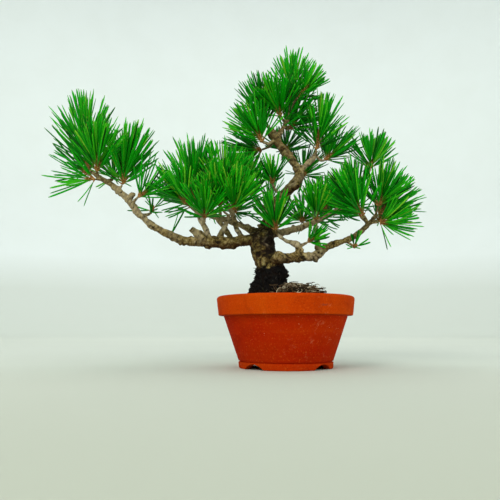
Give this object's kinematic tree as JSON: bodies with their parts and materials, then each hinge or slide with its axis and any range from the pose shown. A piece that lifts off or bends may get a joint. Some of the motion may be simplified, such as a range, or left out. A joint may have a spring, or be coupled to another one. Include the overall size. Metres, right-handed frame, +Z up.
{
  "type": "pine bonsai in a pot",
  "caption": "Small pine bonsai with one long sweeping branch, tufts of needles and a mossy root base, planted in a round unglazed clay pot with a banded rim and notched foot.",
  "frame": {"origin": "under the middle of the whole model's box, on the plane that the pot stands on", "axes": "+X along the tree's long side, from the tip of the long branch to the pot's side, +Y from front to back, +Z up the pot's axis"},
  "size_m": [0.4306, 0.1746, 0.3681],
  "materials": {
    "terracotta": "unglazed fired clay, matte, with turning marks and pale mineral specks",
    "soil": "damp granular soil, matte",
    "moss": "dry curled moss and fibres, matte",
    "bark": "rough bark, near black at the base, tan to grey on the branches",
    "needles": "living pine needles, slightly waxy",
    "net": "moulded net",
    "clip_wire": "annealed wire"
  },
  "bodies": {
    "root": {"drainage_net": "net", "moss": "moss", "needles_apex_1": "needles", "needles_apex_2": "needles", "needles_apex_3": "needles", "needles_apex_4": "needles", "needles_back_1": "needles", "needles_back_2": "needles", "needles_back_left_1": "needles", "needles_back_left_2": "needles", "needles_back_left_3": "needles", "needles_back_left_4": "needles", "needles_back_right_1": "needles", "needles_back_right_2": "needles", "needles_back_right_3": "needles", "needles_back_right_4": "needles", "needles_crown_left_1": "needles", "needles_crown_left_2": "needles", "needles_crown_left_3": "needles", "needles_crown_left_4": "needles", "needles_crown_right_1": "needles", "needles_crown_right_2": "needles", "needles_front_upright_1": "needles", "needles_front_upright_2": "needles", "needles_leader_1": "needles", "needles_leader_2": "needles", "needles_left_1": "needles", "needles_left_2": "needles", "needles_left_3": "needles", "needles_left_4": "needles", "needles_left_5": "needles", "needles_left_6": "needles", "needles_left_7": "needles", "needles_left_8": "needles", "needles_left_fork_a_1": "needles", "needles_left_fork_a_2": "needles", "needles_left_fork_b_1": "needles", "needles_left_fork_b_2": "needles", "needles_left_fork_b_3": "needles", "needles_left_fork_c_1": "needles", "needles_left_fork_d_1": "needles", "needles_left_fork_d_2": "needles", "needles_right_1": "needles", "needles_right_2": "needles", "needles_right_3": "needles", "needles_right_4": "needles", "needles_right_5": "needles", "needles_right_6": "needles", "needles_right_7": "needles", "needles_right_upright_1": "needles", "net_clip": "clip_wire", "pot": "terracotta", "soil": "soil", "trunk_and_branches": "bark"}
  },
  "joints": []
}
